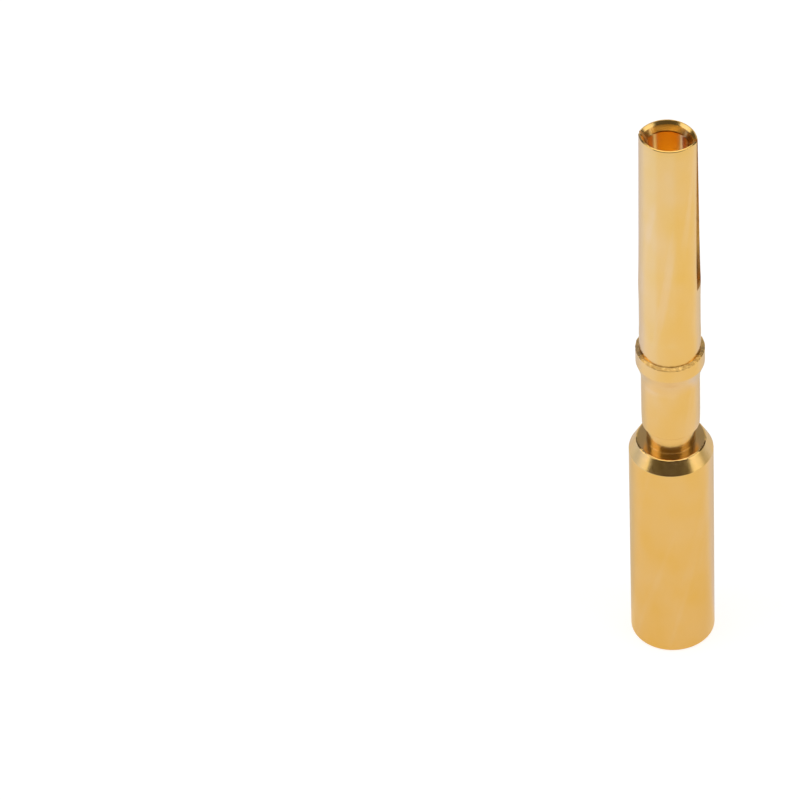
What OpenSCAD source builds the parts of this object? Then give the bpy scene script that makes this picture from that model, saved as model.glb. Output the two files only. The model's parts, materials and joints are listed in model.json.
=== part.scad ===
// Crimp socket contact, turned from one rod of copper alloy and gold plated.
// Millimetres. The origin is the centre of the foot, the open end of the crimp barrel.
// +Z runs along the axis to the mouth of the socket, and the slot lies in the XZ plane.

/* [Crimp barrel] */
// Diameter of the bore for the stripped wire
wire_bore_d = 2.2; // [1.6:0.05:3]
// Depth of the wire bore, from the foot to the start of the drill's point
wire_bore_depth = 8.3; // [5:0.1:12]
// Width of the 45 degree lead-in at the wire bore's mouth
wire_lead_in = 0.2; // [0.05:0.01:0.4]
// Wall of the crimp barrel around the wire bore
barrel_wall = 0.55; // [0.5:0.01:1]
// Solid length between the end of the wire bore and the shoulder face
barrel_floor = 2; // [1.2:0.1:4]
// Edge break around the outside of the foot
foot_break = 0.08; // [0.02:0.01:0.1]
// Length of the cone from the barrel down to the shoulder face
shoulder_cone = 0.57; // [0.2:0.01:1]
// Drop of that cone, measured on the radius
shoulder_drop = 0.3; // [0.1:0.01:0.5]

/* [Neck and shank] */
// Diameter of the shank
shank_d = 2.28; // [2.1:0.01:2.7]
// Length of the shank's straight part
shank_length = 2.14; // [0.5:0.01:5]
// Length of the slightly tapered band behind the straight part
shank_band = 0.55; // [0.2:0.01:1]
// Drop of that band, measured on the radius
shank_band_drop = 0.015; // [0.005:0.005:0.06]
// Width of the neck, the groove between the shank and the shoulder
neck_width = 0.91; // [0.3:0.01:1.5]
// Depth of the neck below the shank's rear edge
neck_depth = 0.17; // [0.05:0.01:0.3]

/* [Collar] */
// Height of the collar above the socket
collar_height = 0.155; // [0.08:0.005:0.4]
// Length of the cone from the shank up to the collar
collar_cone = 0.6; // [0.2:0.01:1]
// Width of the collar's straight rim
collar_width = 0.7; // [0.3:0.01:1.5]

/* [Socket] */
// Diameter of the bore for the mating pin
pin_bore_d = 1.75; // [1.4:0.01:1.9]
// Depth of the pin bore, from the fingers' tips to the start of the drill's point
pin_bore_depth = 10.4; // [8.5:0.1:12]
// Wall of the socket around the pin bore
socket_wall = 0.31; // [0.25:0.01:0.5]
// Length of the socket, from the collar's front face to the fingers' tips
socket_length = 10.95; // [9:0.05:15]
// Length of the seat, the first stretch of the socket in front of the collar
seat_length = 1.05; // [0.5:0.05:1.8]
// Height of the seat above the rest of the socket
seat_step = 0.01; // [0.005:0.005:0.04]

/* [Spring fingers] */
// Width of the saw cut that parts the two fingers
slot_width = 0.65; // [0.4:0.01:0.9]
// Length of the saw cut, from the fingers' tips
slot_length = 7.5; // [5:0.1:9]
// Gap that is left between the tips after the fingers are pressed together
mouth_gap = 0.145; // [0.05:0.005:0.3]
// Flat land around the mouth, outside the 45 degree countersink
mouth_land = 0.04; // [0.02:0.01:0.1]
// Relief of the fingers' walls against the tube they stand on
finger_relief = 0.01; // [0.006:0.001:0.02]

/* [Hidden] */
$fn = 96;

// Point angle of the drills that made the two bores
drill_angle = 118;
// How far a cut or a joined solid runs past the face that it meets
overlap = 0.05;

// Radii of the turned outside
barrel_r = wire_bore_d / 2 + barrel_wall;
shank_r = shank_d / 2;
shank_band_r = shank_r - shank_band_drop;
neck_r = shank_band_r - neck_depth;
socket_r = pin_bore_d / 2 + socket_wall;
seat_r = socket_r + seat_step;
collar_r = socket_r + collar_height;

// Places along the axis, each from the one before it
shoulder = wire_bore_depth + barrel_floor;
neck_front = shoulder + neck_width;
shank_rear = neck_front + shank_band;
collar_rear = shank_rear + shank_length;
collar_rim = collar_rear + collar_cone;
collar_front = collar_rim + collar_width;
seat_front = collar_front + seat_length;
mouth = collar_front + socket_length;
slot_root = mouth - slot_length;

// Angle of each finger, from how far its tip is pressed in
finger_bend = asin((slot_width - mouth_gap) / 2 / slot_length);
// How far a finger runs into the tube below the slot's root, where its bend lifts its outer edge
finger_sink = socket_r * sin(finger_bend) + overlap;
mouth_countersink = socket_wall - 2 * finger_relief - mouth_land;

function drill_point(radius) = radius / tan(drill_angle / 2);

// Outline of the turned outside, from the foot to the slot's root, as radii and heights
turned_outline = [
    [0, 0],
    [barrel_r - foot_break, 0],
    [barrel_r, foot_break],
    [barrel_r, shoulder - shoulder_cone],
    [barrel_r - shoulder_drop, shoulder],
    [neck_r, shoulder],
    [neck_r, neck_front],
    [shank_band_r, neck_front],
    [shank_r, shank_rear],
    [shank_r, collar_rear],
    [collar_r, collar_rim],
    [collar_r, collar_front],
    [seat_r, collar_front],
    [seat_r, seat_front],
    [socket_r, seat_front],
    [socket_r, slot_root],
    [0, slot_root],
];

// Blind bore from the foot, with its lead-in and the drill's point
module wire_bore() {
    bore_r = wire_bore_d / 2;
    lead_in = wire_lead_in + overlap;
    translate([0, 0, -overlap]) {
        cylinder(r = bore_r, h = wire_bore_depth + overlap);
        cylinder(r1 = bore_r + lead_in, r2 = bore_r, h = lead_in);
    }
    translate([0, 0, wire_bore_depth])
        cylinder(r1 = bore_r, r2 = 0, h = drill_point(bore_r));
}

// Pin bore in the unslotted tube, with the drill's point below it
module pin_bore() {
    bore_r = pin_bore_d / 2;
    translate([0, 0, mouth - pin_bore_depth]) {
        cylinder(r = bore_r, h = pin_bore_depth - slot_length + overlap);
        mirror([0, 0, 1])
            cylinder(r1 = bore_r, r2 = 0, h = drill_point(bore_r));
    }
}

// One finger at +Y, still straight, from below the slot's root at z = 0 to its tip
module straight_finger() {
    bore_r = pin_bore_d / 2 + finger_relief;
    countersink = mouth_countersink + overlap;
    cut_length = slot_length + finger_sink + 2 * overlap;
    cut_width = 2 * socket_r + overlap;
    difference() {
        translate([0, 0, -finger_sink])
            cylinder(r = socket_r - finger_relief, h = slot_length + finger_sink);
        translate([0, 0, -finger_sink - overlap])
            cylinder(r = bore_r, h = cut_length);
        translate([0, 0, slot_length - mouth_countersink])
            cylinder(r1 = bore_r, r2 = bore_r + countersink, h = countersink);
        translate([-cut_width / 2, slot_width / 2 - cut_width, -finger_sink - overlap])
            cube([cut_width, cut_width, cut_length]);
    }
}

// Two fingers, each pressed inwards about the slot's root
module spring_fingers() {
    for (side = [0, 1])
        translate([0, 0, slot_root])
            mirror([0, side, 0])
                rotate([finger_bend, 0, 0])
                    straight_finger();
}

// The whole contact, which is one turned piece
module contact_body() {
    color("gold") {
        difference() {
            rotate_extrude() polygon(turned_outline);
            wire_bore();
            pin_bore();
        }
        spring_fingers();
    }
}

contact_body();
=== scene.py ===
# %% [markdown]
# # A crimp socket contact in gold
#
# This is the small metal part inside a plug that holds one wire and takes one pin. The stripped
# wire goes into the barrel at the foot and is squeezed there, and the pin slides between the two
# spring fingers at the top. It is turned from one rod, slit with a saw, pressed together at the
# mouth and plated with gold, so the lesson makes it in that order too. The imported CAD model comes
# first: it fixes the size and the place of everything that follows.

# %% The frame
import json
import math

import bpy
from mathutils import Matrix, Vector


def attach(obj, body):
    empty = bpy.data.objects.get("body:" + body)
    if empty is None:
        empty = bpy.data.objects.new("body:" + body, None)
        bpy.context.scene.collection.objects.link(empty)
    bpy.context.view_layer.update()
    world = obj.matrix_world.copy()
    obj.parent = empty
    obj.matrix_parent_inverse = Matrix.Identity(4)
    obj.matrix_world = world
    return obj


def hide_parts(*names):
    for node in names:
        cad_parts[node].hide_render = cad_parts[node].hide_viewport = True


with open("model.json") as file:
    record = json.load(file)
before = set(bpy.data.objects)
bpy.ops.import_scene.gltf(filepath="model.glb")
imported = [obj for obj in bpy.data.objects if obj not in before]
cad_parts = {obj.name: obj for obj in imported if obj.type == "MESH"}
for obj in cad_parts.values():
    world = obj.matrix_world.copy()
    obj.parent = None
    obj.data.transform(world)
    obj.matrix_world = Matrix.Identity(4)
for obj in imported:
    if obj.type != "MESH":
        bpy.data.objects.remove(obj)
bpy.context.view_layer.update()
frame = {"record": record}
scene = bpy.context.scene

# %% [markdown]
# ## Sizes
#
# The record lists the places where other parts fit: bores, pins and faces. Their radii and
# heights are read from there, so that the gold piece and the CAD model can't drift apart where
# it matters. The other sizes are steps from those places, as on a turner's drawing, and only the
# shank's radius stands by itself. All lengths are in millimetres, because that is how a turner
# reads them, and they become metres at the very end.

# %% Sizes where other parts fit
mm_per_metre = 1000
mounts = {mount["name"]: mount for mount in frame["record"]["mounts"]}


def mount_radius(name):
    """The radius of a bore or pin in the record."""
    return mounts[name]["dims"]["r_mm"]


def mount_height(name):
    """How high a mount's middle stands above the foot."""
    return mounts[name]["pos_m"][2] * mm_per_metre


wire_bore_r = mount_radius("wire_bore")
barrel_r = mount_radius("crimp_barrel")
pin_bore_r = mount_radius("pin_bore")
socket_r = mount_radius("socket_nose")
collar_front = mount_height("collar_front")
half_pin_bore = mounts["pin_bore"]["dims"]["length_mm"] / 2
slot_root = mount_height("pin_bore") + half_pin_bore
pin_bore_end = mount_height("pin_bore") - half_pin_bore
print(f"barrel radius {barrel_r} mm, socket radius {socket_r} mm, slot's root {slot_root:.2f} mm")

# %% Sizes of the collar, the shank and the neck
collar_width = 0.7
collar_cone = 0.6
collar_height = 0.155
collar_rim_drop = 0.03
collar_root_drop = 0.015
shank_r = 1.14
shank_length = 2.14
shank_band = 0.55
shank_band_drop = 0.015
neck_width = 0.91
neck_depth = 0.17

collar_rim = collar_front - collar_width
collar_rear = collar_rim - collar_cone
shank_rear = collar_rear - shank_length
neck_front = shank_rear - shank_band
collar_r = socket_r + collar_height
shank_band_r = shank_r - shank_band_drop
neck_r = shank_band_r - neck_depth
print(f"shank from {neck_front:.2f} to {collar_rear:.2f} mm, collar up to {collar_front:.2f} mm")

# %% Sizes of the barrel
shoulder_cone = 0.57
shoulder_drop = 0.3
barrel_floor = 2
wire_lead_in = 0.2
foot_break = 0.08
drill_half_angle = math.radians(59)

shoulder = neck_front - neck_width
wire_bore_depth = shoulder - barrel_floor
wire_bore_point = wire_bore_depth + wire_bore_r / math.tan(drill_half_angle)
print(f"barrel up to {shoulder:.2f} mm, wire bore {wire_bore_depth:.2f} mm deep")

# %% Sizes of the socket
seat_step = 0.01
seat_length = 1.05
slot_length = 7.5
slot_width = 0.65
mouth_gap = 0.145
mouth_relief = 0.01
rim_break = 0.065
rim_break_drop = 0.025
mouth_countersink = 0.1
lead_in_angle = math.radians(27)

seat_r = socket_r + seat_step
seat_front = collar_front + seat_length
mouth = slot_root + slot_length
mouth_r = socket_r - mouth_relief
countersink_r = mouth_r - rim_break - mouth_countersink
lead_in_depth = mouth_countersink + (countersink_r - pin_bore_r) / math.tan(lead_in_angle)
pin_bore_point = pin_bore_end - pin_bore_r / math.tan(drill_half_angle)
print(f"slot from {slot_root:.2f} to {mouth:.2f} mm, lead-in {lead_in_depth:.2f} mm deep")

# %% [markdown]
# ## The half section
#
# A lathe tool only ever draws one line: the outline of half the section, which the spinning rod
# turns into a round body. The outline below starts at the drill's point inside the barrel, runs
# down the wire bore, round the foot, up the outside, over the mouth and down into the pin bore.
# Every corner has its own rounding, because a real edge is never perfectly sharp: the thin bright
# and dark lines along the shoulder and the mouth are the light in those roundings. Corners that
# hardly turn get a long radius, so that no line shows there at all. A Bevel modifier could round
# the edges later, but a drawn arc keeps its exact radius. A few corners also get a burr, the
# ragged lip that the tool pushes up where a cut ends.

# %% Roundings and burrs
sharp = 0
inner_corner = 0.01
fine_edge = 0.03
rim_edge = 0.04
worn_edge = 0.09
bell_mouth = 0.12
flowing = 0.6
long_flowing = 1.5
barely_bent = 15

light_burr = 0.4
edge_burr = 0.7
ring_burr = 1.3
print("roundings from", inner_corner, "to", barely_bent, "mm")

# %% Corners of the barrel, each with its radius, height, rounding and burr
barrel_corners = [
    (0, wire_bore_point, sharp),
    (wire_bore_r, wire_bore_depth, fine_edge),
    (wire_bore_r, wire_lead_in, fine_edge),
    (wire_bore_r + wire_lead_in, 0, fine_edge, light_burr),
    (barrel_r - foot_break, 0, fine_edge, light_burr),
    (barrel_r, foot_break, fine_edge),
    (barrel_r, shoulder - shoulder_cone, fine_edge),
    (barrel_r - shoulder_drop, shoulder, worn_edge, edge_burr),
    (neck_r, shoulder, inner_corner),
]
print("barrel:", len(barrel_corners), "corners")

# %% Corners of the neck, the shank and the collar
ring_middle_r = (collar_r + seat_r) / 2
ring_middle_drop = (collar_rim_drop + collar_root_drop) / 2
shank_corners = [
    (neck_r, neck_front, inner_corner),
    (shank_band_r, neck_front, fine_edge, light_burr),
    (shank_r, shank_rear, barely_bent),
    (shank_r, collar_rear, long_flowing),
    (collar_r, collar_rim, fine_edge),
    (collar_r, collar_front - collar_rim_drop, fine_edge, ring_burr),
    (ring_middle_r, collar_front - ring_middle_drop, sharp, ring_burr),
    (seat_r, collar_front - collar_root_drop, inner_corner),
]
print("neck, shank and collar:", len(shank_corners), "corners")

# %% Corners of the socket, with rows of points where its walls will bend
seat_ease_back = 0.1
seat_ease_ahead = 0.15
sway_reach = 1.4
bend_run = 1.2
clear_of_root = 0.15
tube_rows = 9
finger_rows = 16
bore_rows = 26

sway_start = slot_root - sway_reach
bend_start = slot_root + clear_of_root
bend_end = slot_root + 2 * bend_run


def wall(radius_from, height_from, radius_to, height_to, rows):
    """Points between two heights on a straight wall, so that the wall can bend later."""
    points = []
    for row in range(rows + 1):
        share = row / rows
        radius = radius_from + (radius_to - radius_from) * share
        height = height_from + (height_to - height_from) * share
        points.append((radius, height, sharp))
    return points


socket_corners = [
    (seat_r, seat_front - seat_ease_back, flowing),
    (socket_r, seat_front + seat_ease_ahead, flowing),
    *wall(socket_r, sway_start, socket_r, slot_root, tube_rows),
    *wall(socket_r, bend_start, mouth_r, bend_end, finger_rows),
    (mouth_r, mouth - rim_break_drop, rim_edge),
    (mouth_r - rim_break, mouth, inner_corner, light_burr),
    (countersink_r, mouth - mouth_countersink, rim_edge),
    (pin_bore_r, mouth - lead_in_depth, bell_mouth),
    *wall(pin_bore_r, bend_end, pin_bore_r, sway_start, bore_rows),
    (pin_bore_r, pin_bore_end, fine_edge),
    (0, pin_bore_point, sharp),
]
print("socket:", len(socket_corners), "corners")

# %% Arcs in the corners
def rounded(corners, hold=0.015, widest_step=math.radians(14)):
    """The outline with an arc at each rounded corner and a close row on both sides of the arc.

    Each point also says how strong the burr is there, which is nothing at the ends of an arc."""
    outline = []
    for index, (radius, height, rounding, *burr) in enumerate(corners):
        corner = Vector((radius, height))
        if rounding == sharp:
            outline.append((corner, sum(burr)))
            continue
        back = (Vector(corners[index - 1][:2]) - corner).normalized()
        ahead = (Vector(corners[index + 1][:2]) - corner).normalized()
        half_angle = back.angle(ahead) / 2
        reach = rounding / math.tan(half_angle)
        centre = corner + (back + ahead).normalized() * rounding / math.sin(half_angle)
        arm = corner + back * reach - centre
        turn = arm.angle_signed(corner + ahead * reach - centre)
        steps = max(2, math.ceil(abs(turn) / widest_step))
        outline.append((corner + back * (reach + hold), 0))
        for step in range(steps + 1):
            on_arc = centre + Matrix.Rotation(-turn * step / steps, 2) @ arm
            outline.append((on_arc, sum(burr) if 0 < step < steps else 0))
        outline.append((corner + ahead * (reach + hold), 0))
    return outline


outline = rounded(barrel_corners + shank_corners + socket_corners)
half_section = bpy.data.meshes.new("half_section")
half_section.from_pydata(
    [(point.x, 0, point.y) for point, burr in outline],
    [(index, index + 1) for index in range(len(outline) - 1)],
    [],
)
burrs = half_section.attributes.new("burr", "FLOAT", "POINT")
burrs.data.foreach_set("value", [burr for point, burr in outline])
print("half section:", len(outline), "points")

# %% [markdown]
# ## Writing sums as nodes
#
# Geometry Nodes and shaders both work out numbers with Math nodes. Placing them one by one hides
# the formula, so a small class lets the script write `a * b + c` and places the nodes itself.

# %% Placing a node
def connect(tree, value, socket):
    """Gives an input socket its value, which is a plain value, a wire or another node's socket."""
    value = getattr(value, "socket", value)
    if isinstance(value, bpy.types.NodeSocket):
        tree.links.new(value, socket)
    else:
        socket.default_value = value


def place(tree, kind, inputs=None, **settings):
    """A new node in a tree, with its settings and its inputs by name."""
    made = tree.nodes.new(kind)
    for name, value in settings.items():
        setattr(made, name, value)
    for name, value in (inputs or {}).items():
        connect(tree, value, made.inputs[name])
    return made


print("place() makes a node and connects its inputs")

# %% Sums with wires
class Wire:
    """A number on its way through a node tree. Sums written with it become Math nodes."""

    def __init__(self, socket):
        self.socket = socket

    def math(self, operation, *others):
        tree = self.socket.id_data
        made = place(tree, "ShaderNodeMath", operation=operation)
        for slot, value in enumerate((self, *others)):
            connect(tree, value, made.inputs[slot])
        return Wire(made.outputs[0])

    def __add__(self, other):
        return self.math("ADD", other)

    def __sub__(self, other):
        return self.math("SUBTRACT", other)

    def __mul__(self, other):
        return self.math("MULTIPLY", other)

    def __truediv__(self, other):
        return self.math("DIVIDE", other)

    def magnitude(self):
        return self.math("ABSOLUTE")

    def above(self, other):
        return self.math("GREATER_THAN", other)

    def below(self, other):
        return self.math("LESS_THAN", other)

    def ramp(self, start, run):
        """0 up to the start, then rising to 1 over the run."""
        return ((self - start) / run).math("MAXIMUM", 0).math("MINIMUM", 1)


def split(tree, vector):
    """The three numbers of a vector, as wires."""
    parts = place(tree, "ShaderNodeSeparateXYZ", {"Vector": vector})
    return [Wire(socket) for socket in parts.outputs]


def joined(tree, x, y, z):
    """A vector made from three wires or numbers."""
    return place(tree, "ShaderNodeCombineXYZ", {"X": x, "Y": y, "Z": z}).outputs[0]


print("a Wire turns sums into Math nodes, and split() and joined() take vectors apart and back")

# %% [markdown]
# ## Turning, sawing and pressing
#
# The body follows three rules, one after the other, so one Geometry Nodes tree makes it. Modelling
# the fingers by hand would take longer and would never meet the tube so smoothly. The tree's sizes
# are named inputs, so the same tree could make a contact for a thicker pin.

# %% The tree and its inputs
size_inputs = {
    "Slot Width": slot_width,
    "Slot Length": slot_length,
    "Slot Root": slot_root,
    "Socket Radius": socket_r,
    "Collar Radius": collar_r,
    "Collar Front": collar_front,
    "Bruise Depth": 0.075,
    "Bruise Run": 0.1,
    "Bruise Angle": math.radians(-74),
    "Shoulder": shoulder,
    "Shoulder Cone": shoulder_cone,
    "Mouth Gap": mouth_gap,
    "Bend Run": bend_run,
    "Sway": 0.012,
    "Sway Run": 0.6,
    "Burr Height": 0.02,
    "Burr Length": 0.08,
}

turning = bpy.data.node_groups.new("turn_saw_press", "GeometryNodeTree")
turning.interface.new_socket("Half Section", in_out="INPUT", socket_type="NodeSocketGeometry")
turning.interface.new_socket("Steps Round", in_out="INPUT", socket_type="NodeSocketInt")
for name in size_inputs:
    turning.interface.new_socket(name, in_out="INPUT", socket_type="NodeSocketFloat")
turning.interface.new_socket("Material", in_out="INPUT", socket_type="NodeSocketMaterial")
turning.interface.new_socket("Contact", in_out="OUTPUT", socket_type="NodeSocketGeometry")
given = place(turning, "NodeGroupInput").outputs
size = {name: Wire(given[name]) for name in size_inputs}
print("tree inputs:", ", ".join(size))

# %% [markdown]
# ### Turning
#
# A flat grid has one column for each point of the half section and one row for each step round the
# axis. Every point of the grid looks up its radius and height in the half section and takes its
# place round the axis, and the first and last rows are merged into a closed skin. A Screw modifier
# does much the same, but here each point still knows its place on the half section. So a noise can
# make the burrs ragged, and one side of the collar's rim can be knocked down, as happens when
# small parts are tumbled in a drum. The burred edges are remembered as worn for the gold.

# %% Rolling the grid up
section = given["Half Section"]
section_points = place(
    turning, "GeometryNodeAttributeDomainSize", {"Geometry": section}, component="MESH"
).outputs["Point Count"]
grid = place(
    turning,
    "GeometryNodeMeshGrid",
    {"Vertices X": Wire(given["Steps Round"]) + 1, "Vertices Y": section_points},
)
index = Wire(place(turning, "GeometryNodeInputIndex").outputs[0])
along = index.math("MODULO", section_points)
step_round = (index / section_points).math("FLOOR")
angle = step_round * math.tau / given["Steps Round"]


def from_section(value, kind):
    """What the half section has at the point that this column of the grid stands for."""
    sample = place(
        turning, "GeometryNodeSampleIndex", {"Geometry": section, "Index": along}, data_type=kind
    )
    turning.links.new(value, sample.inputs["Value"])
    return sample.outputs[0]


def round_the_axis(radius, height):
    """The place at this radius and height on the row's own side of the axis."""
    return joined(turning, radius * angle.math("COSINE"), radius * angle.math("SINE"), height)


position = place(turning, "GeometryNodeInputPosition").outputs[0]
radius, _, height = split(turning, from_section(position, "FLOAT_VECTOR"))
print("turning:", len(turning.nodes), "nodes so far")

# %% Ragged burrs and a bruise
noise_middle = 0.5
bruise_ends = 0.5
bruise_fades = 0.4

burr_strength = place(
    turning, "GeometryNodeInputNamedAttribute", {"Name": "burr"}, data_type="FLOAT"
).outputs["Attribute"]
burr = Wire(from_section(burr_strength, "FLOAT"))
ragged = place(
    turning,
    "ShaderNodeTexNoise",
    {
        "Vector": round_the_axis(radius, height),
        "Scale": (size["Burr Length"] * 2).math("POWER", -1),
        "Detail": 1.0,
    },
)
out_or_in = (Wire(ragged.outputs[0]) - noise_middle) * burr * size["Burr Height"] * 2


def bruised(angle, ends, fades):
    """1 in the middle of the bruise, 0 round the back. Its end and its fading are cosines."""
    return (angle - size["Bruise Angle"]).math("COSINE").ramp(ends, fades)


outwards = radius.ramp(size["Socket Radius"], size["Collar Radius"] - size["Socket Radius"])
from_front = (height - size["Collar Front"]) / size["Bruise Run"]
at_rim = outwards * (from_front * from_front * -1).math("EXPONENT")
knocked = at_rim * bruised(angle, bruise_ends, bruise_fades) * size["Bruise Depth"]
print("burrs and bruise:", len(turning.nodes), "nodes so far")

# %% The closed skin
same_point = 0.0001

rolled = place(
    turning,
    "GeometryNodeSetPosition",
    {
        "Geometry": grid.outputs["Mesh"],
        "Position": round_the_axis(radius + out_or_in, height + out_or_in / 2 - knocked),
    },
)
handled = place(
    turning,
    "GeometryNodeStoreNamedAttribute",
    {"Geometry": rolled.outputs[0], "Name": "worn", "Value": burr.math("MINIMUM", 1)},
    data_type="FLOAT",
    domain="POINT",
)
turned = place(
    turning,
    "GeometryNodeMergeByDistance",
    {"Geometry": handled.outputs[0], "Distance": same_point},
)
print("closed skin:", len(turning.nodes), "nodes so far")

# %% [markdown]
# ### Sawing
#
# A thin saw slits the socket into two fingers. The blade is a long block that a Mesh Boolean takes
# away, with rows along its length so that the new walls can bend too. Three kinds of face come out
# duller than the turned skin: the sawn walls, the shoulder's cone, which a wide form tool cuts in
# one go, and the collar's faced front, most of all where it is bruised. They are marked now, while
# their places are still easy to name, and the gold reads the mark later.

# %% Cutting the slot
blade_spare = 0.5
blade_rows = 60
blade_reach = size["Socket Radius"] * 3
blade_length = size["Slot Length"] + blade_spare
blade = place(
    turning,
    "GeometryNodeMeshCube",
    {
        "Size": joined(turning, blade_reach, size["Slot Width"], blade_length),
        "Vertices Z": blade_rows,
    },
)
blade_in_place = place(
    turning,
    "GeometryNodeTransform",
    {
        "Geometry": blade.outputs["Mesh"],
        "Translation": joined(turning, 0, 0, size["Slot Root"] + blade_length / 2),
    },
)
sawn = place(
    turning,
    "GeometryNodeMeshBoolean",
    {"Mesh 1": turned.outputs[0], "Mesh 2": blade_in_place.outputs[0]},
    operation="DIFFERENCE",
    solver="MANIFOLD",
)
print("sawing:", len(turning.nodes), "nodes so far")

# %% Marking the duller faces
sawn_dullness = 1.8
faced_dullness = 0.2
bruise_dullness = 1.2
coned_dullness = 0.2
dull_bruise_ends = 0.3
dull_bruise_fades = 0.2
near_front = 0.15
level_face = 0.5
steepest_cone = 0.3
flattest_cone = 0.8
hair = 0.001

x, y, z = split(turning, position)
upward = split(turning, place(turning, "GeometryNodeInputNormal").outputs[0])[2]
in_slot = y.magnitude().below(size["Slot Width"] / 2 + hair)
sawn_wall = in_slot * z.above(size["Slot Root"] - hair)
at_front = (z - size["Collar Front"]).magnitude().below(near_front)
faced_ring = at_front * upward.above(level_face)
bruised_side = bruised(y.math("ARCTAN2", x), dull_bruise_ends, dull_bruise_fades)
half_cone = size["Shoulder Cone"] / 2
on_cone = (z - size["Shoulder"] + half_cone).magnitude().below(half_cone)
cone = on_cone * upward.above(steepest_cone) * upward.below(flattest_cone)
marked = place(
    turning,
    "GeometryNodeStoreNamedAttribute",
    {
        "Geometry": sawn.outputs["Mesh"],
        "Name": "dull",
        "Value": sawn_wall * sawn_dullness
        + faced_ring * faced_dullness
        + faced_ring * bruised_side * bruise_dullness
        + cone * coned_dullness,
    },
    data_type="FLOAT",
    domain="FACE",
)
print("marking:", len(turning.nodes), "nodes so far")

# %% [markdown]
# ### Pressing
#
# The fingers are pressed together until only a thin gap is left at the mouth, so that they grip
# the pin. Each finger bends over a short run above the slot's root and is straight from there on.
# The tube below gives a little and goes oval, as a pressed tube does. A Simple Deform modifier
# would bend the whole piece, so the tree moves every point by the rule itself.

# %% Bending the fingers and the tube
rise = (z - size["Slot Root"]).math("MAXIMUM", 0)
curved = rise.math("MINIMUM", size["Bend Run"])
straight = rise - curved
press = (size["Slot Width"] - size["Mouth Gap"]) / 2
full_slope = press / (size["Slot Length"] - size["Bend Run"] / 2)
slope = full_slope * curved / size["Bend Run"]
inward = slope * curved / 2 + full_slope * straight
from_root = (z - size["Slot Root"]) / size["Sway Run"]
sway = size["Sway"] * (from_root * from_root * -1).math("EXPONENT")
pressed = place(
    turning,
    "GeometryNodeSetPosition",
    {
        "Geometry": marked.outputs[0],
        "Position": joined(
            turning,
            x + x * sway,
            y - y * sway - y.math("SIGN") * inward,
            z + y.magnitude() * slope,
        ),
    },
)
print("pressing:", len(turning.nodes), "nodes so far")

# %% Metres, smooth faces with true corners, and the material
true_corner = math.radians(30)
to_metres = 1 / mm_per_metre

in_metres = place(
    turning,
    "GeometryNodeTransform",
    {"Geometry": pressed.outputs[0], "Scale": (to_metres, to_metres, to_metres)},
)
smooth = place(turning, "GeometryNodeSetShadeSmooth", {"Geometry": in_metres.outputs[0]})
corner_angle = Wire(place(turning, "GeometryNodeInputMeshEdgeAngle").outputs["Unsigned Angle"])
crisp = place(
    turning,
    "GeometryNodeSetShadeSmooth",
    {
        "Geometry": smooth.outputs[0],
        "Selection": corner_angle.above(true_corner),
        "Shade Smooth": False,
    },
    domain="EDGE",
)
real = place(turning, "GeometryNodeRealizeInstances", {"Geometry": crisp.outputs[0]})
dressed = place(
    turning,
    "GeometryNodeSetMaterial",
    {"Geometry": real.outputs[0], "Material": given["Material"]},
)
place(turning, "NodeGroupOutput", {"Contact": dressed.outputs[0]})
print("whole tree:", len(turning.nodes), "nodes")

# %% [markdown]
# ## Gold plating
#
# Gold is a metal, so its colour lives in the reflection: the base colour is what a white surface
# looks like in it. Plating over a turned part is not one even colour. Behind the collar, most of
# all on its cone, the gold is painted paler: a painted reflection of the pale light that the cone
# shows. Long wiping marks wind round the part and are plainest on the socket, the tool's rings show
# through, dull faces stay dull and rubbed edges are brighter. A painted image could hold all this,
# but noise on the piece's own coordinates needs no file, has no seam, and turns with the piece.

# %% A place on the gold
gold = bpy.data.materials.new("gold_plating")
gold.use_nodes = True
gold_tree = gold.node_tree
gold_tree.nodes.clear()
spot = place(gold_tree, "ShaderNodeTexCoord").outputs["Object"]
x, y, z = [axis * mm_per_metre for axis in split(gold_tree, spot)]
from_axis = (x * x + y * y).math("SQRT")


def clouds(vector, detail):
    """Soft random patches, from -0.5 to 0.5, that change over about one unit of the vector."""
    noise = place(
        gold_tree, "ShaderNodeTexNoise", {"Vector": vector, "Scale": 1.0, "Detail": detail}
    )
    return Wire(noise.outputs[0]) - noise_middle


print("gold is laid out in millimetres on the piece's own coordinates")

# %% Patches and wiping marks
patch_across = 0.8
patch_along = 0.5
twist = 0.14
mark_across = 2.2
mark_along = 0.12
mark_edge = 0.08
mark_fade = 0.143

patches = clouds(joined(gold_tree, x * patch_across, y * patch_across, z * patch_along), 2.0)
wind = z * twist
wound_x = x * wind.math("COSINE") + y * wind.math("SINE")
wound_y = y * wind.math("COSINE") - x * wind.math("SINE")
wiping = clouds(
    joined(gold_tree, wound_x * mark_across, wound_y * mark_across, z * mark_along), 1.0
)
wiped = wiping.ramp(mark_edge, mark_fade)
print(f"a wiping mark turns {math.degrees(twist):.0f} degrees for each millimetre")

# %% Painted pale reflection behind the collar
pale_reflection_start = collar_rear - 0.45
pale_reflection_rise = 0.6
pale_reflection_ragged = 0.6
pale_reflection_end = collar_rim - 0.05
pale_reflection_fall = 0.1

# Painted pale reflection: the gold is made paler on the collar's cone and just below it, standing
# in for the pale light that the cone reflects.
risen = (z + patches * pale_reflection_ragged).ramp(pale_reflection_start, pale_reflection_rise)
fallen = z.ramp(pale_reflection_end, pale_reflection_fall)
painted_pale_reflection = risen * (fallen * -1 + 1)
print(f"the layer is thin from {pale_reflection_start:.2f} to {pale_reflection_end:.2f} mm above the foot")

# %% The colour, from the patches, the marks and the painted pale reflection
full_colour = (0.88, 0.57, 0.2)
paling = (0.01, 0.05, 0.11)
patch_paleness = 1.8
pale_reflection_strength = 1.1
mark_paleness = 0.25
socket_mark_paleness = 0.25
socket_mark_rise = 1
even_depth = 0.08

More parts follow.
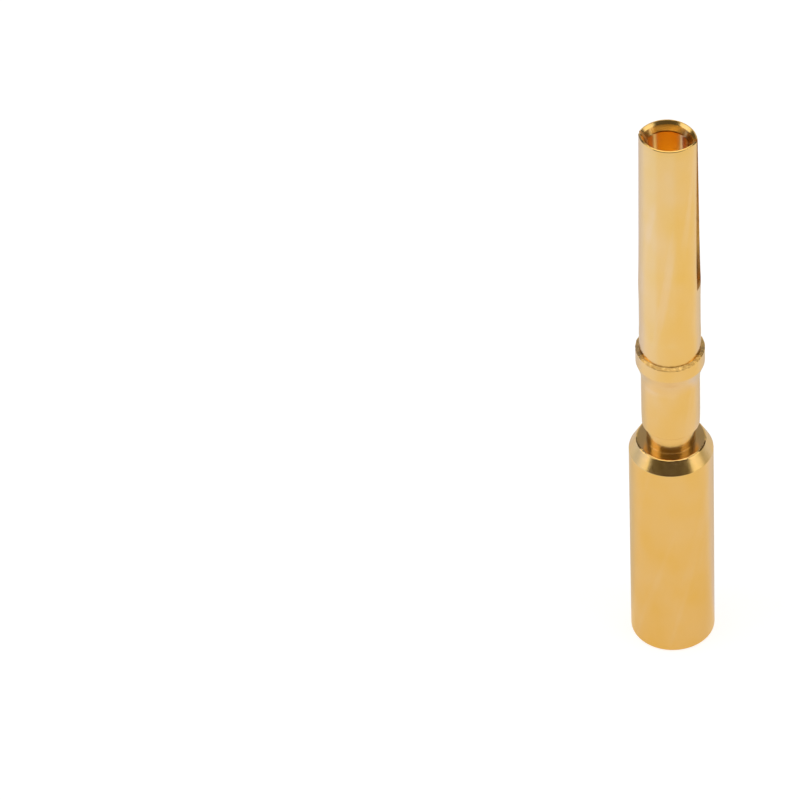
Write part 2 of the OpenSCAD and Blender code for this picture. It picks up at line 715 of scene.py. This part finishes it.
on_socket = z.ramp(collar_front, socket_mark_rise)
marks = wiped * (on_socket * socket_mark_paleness + mark_paleness)
paleness = patches * patch_paleness + marks + painted_pale_reflection * pale_reflection_strength - even_depth
red, green, blue = [paleness * gain + full for gain, full in zip(paling, full_colour)]
colour = place(gold_tree, "ShaderNodeCombineColor", {"Red": red, "Green": green, "Blue": blue})
print("the full colour of the gold is", full_colour)

# %% Tool rings, dull faces and rubbed edges
rings_per_millimetre = 9
mottles_per_millimetre = 7
ring_depth = 3e-7
turned_roughness = 0.2
dull_roughness = 0.2
patch_roughness = 0.06
worn_polish = 0.05
mottle_contrast = 3

tool_rings = place(
    gold_tree,
    "ShaderNodeTexNoise",
    {"W": (z + from_axis) * rings_per_millimetre, "Scale": 1.0, "Detail": 3.0},
    noise_dimensions="1D",
)
rings = place(
    gold_tree,
    "ShaderNodeBump",
    {"Height": tool_rings.outputs[0], "Distance": ring_depth, "Strength": 1.0},
)
dull = Wire(place(gold_tree, "ShaderNodeAttribute", attribute_name="dull").outputs["Fac"])
worn = Wire(place(gold_tree, "ShaderNodeAttribute", attribute_name="worn").outputs["Fac"])
fine_spot = [axis * mottles_per_millimetre for axis in (x, y, z)]
mottled = dull * (clouds(joined(gold_tree, *fine_spot), 1.0) * mottle_contrast + 1)
uneven = mottled * dull_roughness + patches * patch_roughness
roughness = uneven - worn * worn_polish + turned_roughness
skin = place(
    gold_tree,
    "ShaderNodeBsdfPrincipled",
    {
        "Base Color": colour.outputs[0],
        "Metallic": 1.0,
        "Roughness": roughness,
        "Normal": rings.outputs[0],
    },
)
place(gold_tree, "ShaderNodeOutputMaterial", {"Surface": skin.outputs[0]})
print("gold:", len(gold_tree.nodes), "nodes")

# %% [markdown]
# ## The contact as a plain mesh
#
# The export keeps meshes and drops modifiers' instances, so the tree runs once and its result is
# kept as an ordinary mesh. The contact is one solid piece of metal with nothing that moves, so it
# rides on the root body and stands for the one CAD solid.

# %% Running the tree
steps_round = 320

rough_part = bpy.data.objects.new("half_section", half_section)
scene.collection.objects.link(rough_part)
modifier = rough_part.modifiers.new("turn_saw_press", "NODES")
modifier.node_group = turning
identifiers = {item.name: item.identifier for item in turning.interface.items_tree}
modifier[identifiers["Steps Round"]] = steps_round
for name, value in size_inputs.items():
    modifier[identifiers[name]] = float(value)
modifier[identifiers["Material"]] = gold
evaluated = rough_part.evaluated_get(bpy.context.evaluated_depsgraph_get())
contact = bpy.data.objects.new("contact", bpy.data.meshes.new_from_object(evaluated))
contact.data.name = "contact"
scene.collection.objects.link(contact)
rough_part.modifiers.clear()
bpy.data.objects.remove(rough_part)
triangles = sum(len(face.vertices) - 2 for face in contact.data.polygons)
print(f"contact: {len(contact.data.polygons)} faces, {triangles} triangles")

# %% Riding on the frame
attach(contact, "root")
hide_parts("contact_body")
print("contact stands for contact_body")

# %% [markdown]
# ## Table and backdrop
#
# A polished part is a mirror: what it shows is the room. It stands on a white table, and the table
# takes up the lower half of every reflection. Beside the gold the table has a warm cast from it,
# and behind the contact it is dimmer. Cool light from two windows falls on it, one on the left and
# a weaker one at the back on the right. Behind it all stands a pale backdrop that fades upwards.
# Lamps alone could light the table, but a glow in its material is free of noise and its edges can
# be placed.

# %% Where things stand, as the photographer sees them
view_azimuth = math.radians(15.577)
toward_camera = Vector((math.sin(view_azimuth), -math.cos(view_azimuth), 0))
to_the_right = Vector((math.cos(view_azimuth), math.sin(view_azimuth), 0))


def studio(azimuth, elevation, distance):
    """A place in the studio, in degrees and metres. Azimuth runs from the camera to its right."""
    turn = math.radians(azimuth)
    lift = math.radians(elevation)
    level = math.cos(turn) * toward_camera + math.sin(turn) * to_the_right
    return distance * (math.cos(lift) * level + Vector((0, 0, math.sin(lift))))


print("the camera stands towards", [round(number, 3) for number in toward_camera])

# %% A matt white that glows
matt = 0.9


def white_surface(name, albedo, to_camera, glow):
    """Matt white that is bright to the camera and in reflections, and still takes a shadow."""
    material = bpy.data.materials.new(name)
    material.use_nodes = True
    tree = material.node_tree
    tree.nodes.clear()
    path = place(tree, "ShaderNodeLightPath").outputs
    place_on_it = split(tree, place(tree, "ShaderNodeTexCoord").outputs["Object"])
    seen = Wire(path["Is Camera Ray"]) * to_camera
    mirrored = Wire(path["Is Glossy Ray"]) + path["Is Transmission Ray"]
    red, green, blue = [seen + mirrored * light for light in glow(*place_on_it)]
    light = place(tree, "ShaderNodeCombineColor", {"Red": red, "Green": green, "Blue": blue})
    coat = place(
        tree,
        "ShaderNodeBsdfPrincipled",
        {
            "Base Color": (albedo, albedo, albedo, 1),
            "Roughness": matt,
            "Specular IOR Level": 0.0,
            "Emission Color": light.outputs[0],
            "Emission Strength": 1.0,
        },
    )
    place(tree, "ShaderNodeOutputMaterial", {"Surface": coat.outputs[0]})
    return material


def plane(name, corners, material):
    """A flat piece of the studio, which isn't part of the contact."""
    mesh = bpy.data.meshes.new(name)
    mesh.from_pydata(corners, [], [range(len(corners))])
    mesh.materials.append(material)
    made = bpy.data.objects.new(name, mesh)
    scene.collection.objects.link(made)
    print(name, "stands with", len(corners), "corners")


print("white_surface() makes the white and plane() puts a flat piece of it into the studio")

# %% Cool light from the windows, each edge as where it starts and how wide it is
left_half = (0.1, 0.5)
left_quarter = (0.68, 0.18)
past_the_middle = (-0.45, 0.35)
right_quarter = (0.6, 0.3)
back_half = (0, 0.4)
clear_of_foot = (0.0125, 0.005)
well_out = (0.018, 0.004)
half_light = 0.2
left_light = 0.35
right_light = 0.24


def window_light(leftwards, backwards, distance):
    """How much cool light reaches a place on the table, from its direction and its distance."""
    further_round = leftwards.ramp(*past_the_middle) * distance.ramp(*well_out)
    half_lit = leftwards.ramp(*left_half).math("MAXIMUM", further_round)
    left = half_lit * half_light + leftwards.ramp(*left_quarter) * left_light
    rightwards = leftwards * -1
    right = rightwards.ramp(*right_quarter) * backwards.ramp(*back_half) * right_light
    return distance.ramp(*clear_of_foot) * left + right


print("window light on the left", half_light + left_light, "and on the right", right_light)

# %% The table
table_reach = 1.5
table_albedo = 0.5
table_to_camera = 0.78
pool_reach = 0.065
pool_edge = 0.1
pool_middle = 0.6
behind = (0.2, 0.625)
behind_dims = 0.34
cast_reach = 0.02
cast_takes = (0.17, 0.28, 0.5)
cool_green = 0.2
never_zero = 1e-6


def pool_of_light(x, y, z):
    """The lamps' pool: warm beside the gold, dimmer behind it, cool where the windows reach."""
    distance = (x * x + y * y).math("SQRT") + never_zero
    leftwards = (x * to_the_right.x + y * to_the_right.y) / distance * -1
    backwards = (x * toward_camera.x + y * toward_camera.y) / distance * -1
    far = distance / pool_reach
    pool = (far * far * far + 1).math("POWER", -1) * pool_middle + pool_edge
    lit = pool * (backwards.ramp(*behind) * -behind_dims + 1)
    near = distance / cast_reach
    cast = (near * near * -1).math("EXPONENT")
    red, green, blue = [lit * (cast * -taken + 1) for taken in cast_takes]
    cool = window_light(leftwards, backwards, distance)
    return red, green + cool * cool_green, blue + cool


plane(
    "table",
    [
        (-table_reach, -table_reach, 0),
        (table_reach, -table_reach, 0),
        (table_reach, table_reach, 0),
        (-table_reach, table_reach, 0),
    ],
    white_surface("table_white", table_albedo, table_to_camera, pool_of_light),
)

# %% The backdrop
backdrop_distance = 0.68
backdrop_height = 0.7
backdrop_left = -140
backdrop_right = 130
backdrop_albedo = 0.3
backdrop_to_camera = 1
backdrop_foot = 0.85
backdrop_fade = 1.25
backdrop_cool = 0.17


def fading_upwards(x, y, z):
    """Bright at the foot, and dimmer and cooler with the height."""
    lit = z * -backdrop_fade + backdrop_foot
    return lit, lit, lit + z * backdrop_cool


left_foot = studio(backdrop_left, 0, backdrop_distance)
right_foot = studio(backdrop_right, 0, backdrop_distance)
up = Vector((0, 0, backdrop_height))
plane(
    "backdrop",
    [left_foot, right_foot, right_foot + up, left_foot + up],
    white_surface("backdrop_white", backdrop_albedo, backdrop_to_camera, fading_upwards),
)

# %% [markdown]
# ## Lamps
#
# One softbox stands on each side of the contact and one hangs above it, and the room is dark in
# between: the dark gaps are what draws the contact's form. A small part needs no big studio, so
# half a metre is far enough.

# %% Softboxes and the dark room
softbox_distance = 0.5
softbox_radiance = 1.2
room_glow = (0.09, 0.075, 0.05, 1)


def flat_lamp(name, width, height, radiance):
    """A flat lamp, in metres. Its power is what gives its face this radiance."""
    light = bpy.data.lights.new(name, "AREA")
    light.shape = "RECTANGLE"
    light.size = width
    light.size_y = height
    light.energy = radiance * math.pi * width * height
    made = bpy.data.objects.new(name, light)
    scene.collection.objects.link(made)
    return made


def softbox(name, azimuth, elevation, width, height):
    """A big soft lamp that faces the contact."""
    made = flat_lamp(name, width, height, softbox_radiance)
    made.location = studio(azimuth, elevation, softbox_distance)
    made.rotation_euler = made.location.to_track_quat("Z", "Y").to_euler()
    print(f"{name}: {made.data.energy:.3f} W")


softbox("left_softbox", azimuth=-81, elevation=22, width=0.36, height=0.5)
softbox("right_softbox", azimuth=67, elevation=20, width=0.335, height=0.45)
softbox("top_softbox", azimuth=180, elevation=89, width=0.56, height=0.56)
room = bpy.data.worlds.new("dark_room")
room.use_nodes = True
room.node_tree.nodes["Background"].inputs["Color"].default_value = room_glow
scene.world = room

# %% [markdown]
# ### Light inside the pin bore
#
# Light that falls into a gold tube is thrown from wall to wall many times and comes out a deep
# yellow. The renderer follows only a few of these reflections and then gives up, which leaves the
# bore black. A tiny lamp low in the bore, which the camera can't see, gives back what is lost.
# More reflections in the render settings would do the same, but a scene shouldn't need them.

# %% Bore lamp
bore_lamp_width = 0.0014
bore_lamp_height = 0.0196
bore_lamp_radiance = 1.08
bore_lamp_colour = (0.9, 1.0, 0.42)
bore_lamp_spread = math.radians(140)

bore_lamp = flat_lamp("bore_lamp", bore_lamp_width, bore_lamp_width, bore_lamp_radiance)
bore_lamp.data.color = bore_lamp_colour
bore_lamp.data.spread = bore_lamp_spread
bore_lamp.location = (0, 0, bore_lamp_height)
bore_lamp.rotation_euler = (math.pi, 0, 0)
bore_lamp.visible_camera = False
print(f"bore lamp: {bore_lamp.data.energy:.2e} W")

# %% [markdown]
# ## Camera
#
# A small part is photographed from close by with a long lens, so it shows almost no perspective.
# The camera is placed by one known point: where the middle of the axis falls in the picture, how
# far away it is, and how the camera is turned. Tracking an empty would put that point in the
# middle of the picture, and here it is far to the right of it.

# %% Placing the camera
picture_size = 800
sensor_width = 36
focal_length = 400
pixels_per_radian = focal_length / sensor_width * picture_size
view_elevation = math.radians(44.402)
view_roll = math.radians(2.306)
aim_point = Vector((0, 0, 0.013))
aim_pixel = (670.49, 386.70)
aim_depth = 0.34286

forward = -(toward_camera * math.cos(view_elevation) + Vector((0, 0, math.sin(view_elevation))))
level_right = forward.cross(Vector((0, 0, 1))).normalized()
level_down = forward.cross(level_right)
right = math.cos(view_roll) * level_right + math.sin(view_roll) * level_down
down = math.cos(view_roll) * level_down - math.sin(view_roll) * level_right
sideways = (aim_pixel[0] - picture_size / 2) / pixels_per_radian
downwards = (aim_pixel[1] - picture_size / 2) / pixels_per_radian
eye = aim_point - aim_depth * (forward + sideways * right + downwards * down)

lens = bpy.data.cameras.new("camera")
lens.sensor_width = sensor_width
lens.lens = focal_length
lens.clip_start = 0.01
camera = bpy.data.objects.new("camera", lens)
facing = Matrix((right, -down, -forward)).transposed().to_4x4()
camera.matrix_world = Matrix.Translation(eye) @ facing
scene.collection.objects.link(camera)
scene.camera = camera
scene.view_settings.view_transform = "Standard"
print("camera at", [round(number * mm_per_metre, 3) for number in eye], "mm")
